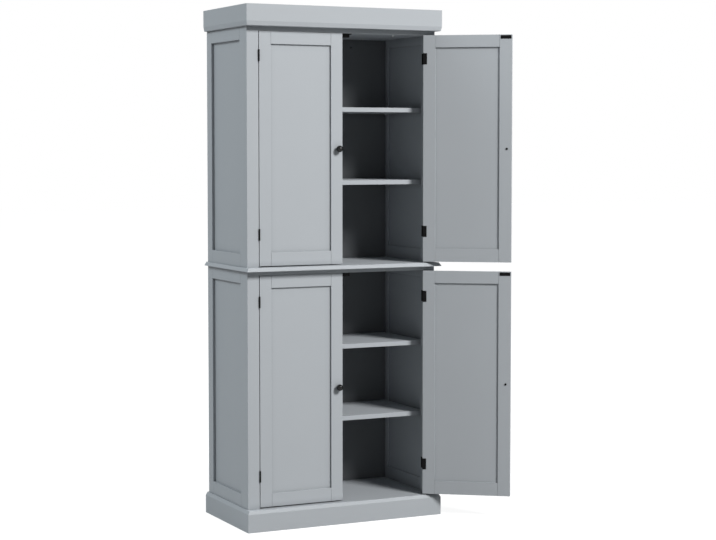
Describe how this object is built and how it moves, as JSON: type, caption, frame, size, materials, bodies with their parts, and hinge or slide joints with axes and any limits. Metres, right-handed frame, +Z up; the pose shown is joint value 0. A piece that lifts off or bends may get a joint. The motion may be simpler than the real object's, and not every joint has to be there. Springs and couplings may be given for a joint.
{
  "type": "kitchen cabinet",
  "caption": "Tall freestanding kitchen pantry cabinet: stacked carcasses with hinged inset panel doors, round knobs, inner shelves, a bevelled ledge, a plinth and a crown.",
  "frame": {"origin": "on the floor at the middle of the footprint of plinth and crown, under the plinth's centre rail", "axes": "+Z up, +X to the viewer's right when facing the doors, +Y from the doors to the back"},
  "size_m": [0.9705, 0.5884, 1.842],
  "materials": {
    "grey_paint": "smooth satin cool grey paint on board",
    "grey_back_board": "thin board with a dark grey painted face",
    "black_hinge_metal": "matt black lacquered steel",
    "black_knob_metal": "satin black",
    "black_plastic": "moulded black plastic",
    "zinc_steel": "zinc plated",
    "beech": "bare wood"
  },
  "bodies": {
    "cabinet": {"bottom_panel": "grey_paint", "cam_fittings": "zinc_steel", "carcass_dowels": "beech", "crown_base": "grey_paint", "crown_front": "grey_paint", "crown_returns": "grey_paint", "crown_top": "grey_paint", "face_rails": "grey_paint", "face_stiles": "grey_paint", "frame_screws": "black_hinge_metal", "hinge_frame_leaves": "black_hinge_metal", "hinge_pins": "black_hinge_metal", "ledge_board": "grey_paint", "lower_back_panel": "grey_back_board", "lower_high_shelf": "grey_paint", "lower_left_side_frame": "grey_paint", "lower_left_side_panel": "grey_paint", "lower_low_shelf": "grey_paint", "lower_right_side_frame": "grey_paint", "lower_right_side_panel": "grey_paint", "lower_top_panel": "grey_paint", "magnetic_catches": "black_plastic", "panel_screws": "zinc_steel", "plinth_back": "grey_paint", "plinth_cross_rails": "grey_paint", "plinth_front": "grey_paint", "shelf_pins": "zinc_steel", "upper_back_panel": "grey_back_board", "upper_high_shelf": "grey_paint", "upper_left_side_frame": "grey_paint", "upper_left_side_panel": "grey_paint", "upper_low_shelf": "grey_paint", "upper_right_side_frame": "grey_paint", "upper_right_side_panel": "grey_paint", "upper_top_panel": "grey_paint", "wall_rail": "grey_paint"},
    "upper_left_door": {"upper_left_door_frame": "grey_paint", "upper_left_door_panel": "grey_paint", "upper_left_door_knob": "black_knob_metal", "upper_left_door_hinge_leaves": "black_hinge_metal", "upper_left_door_strike_plate": "black_hinge_metal", "upper_left_door_screws": "black_hinge_metal"},
    "upper_right_door": {"upper_right_door_frame": "grey_paint", "upper_right_door_panel": "grey_paint", "upper_right_door_knob": "black_knob_metal", "upper_right_door_hinge_leaves": "black_hinge_metal", "upper_right_door_strike_plate": "black_hinge_metal", "upper_right_door_screws": "black_hinge_metal"},
    "lower_left_door": {"lower_left_door_frame": "grey_paint", "lower_left_door_panel": "grey_paint", "lower_left_door_knob": "black_knob_metal", "lower_left_door_hinge_leaves": "black_hinge_metal", "lower_left_door_strike_plate": "black_hinge_metal", "lower_left_door_screws": "black_hinge_metal"},
    "lower_right_door": {"lower_right_door_frame": "grey_paint", "lower_right_door_panel": "grey_paint", "lower_right_door_knob": "black_knob_metal", "lower_right_door_hinge_leaves": "black_hinge_metal", "lower_right_door_strike_plate": "black_hinge_metal", "lower_right_door_screws": "black_hinge_metal"}
  },
  "joints": [
    {"name": "upper_left_hinge", "type": "hinge", "parent": "cabinet", "child": "upper_left_door", "pos_m": [-0.32375, -0.1756, 1.341], "axis": [0, 0, -1], "range_deg": [0, 170]},
    {"name": "upper_right_hinge", "type": "hinge", "parent": "cabinet", "child": "upper_right_door", "pos_m": [0.32375, -0.1756, 1.341], "axis": [0, 0, 1], "range_deg": [-144, 26]},
    {"name": "lower_left_hinge", "type": "hinge", "parent": "cabinet", "child": "lower_left_door", "pos_m": [-0.32375, -0.1756, 0.489], "axis": [0, 0, -1], "range_deg": [0, 170]},
    {"name": "lower_right_hinge", "type": "hinge", "parent": "cabinet", "child": "lower_right_door", "pos_m": [0.32375, -0.1756, 0.489], "axis": [0, 0, 1], "range_deg": [-144, 26]}
  ]
}
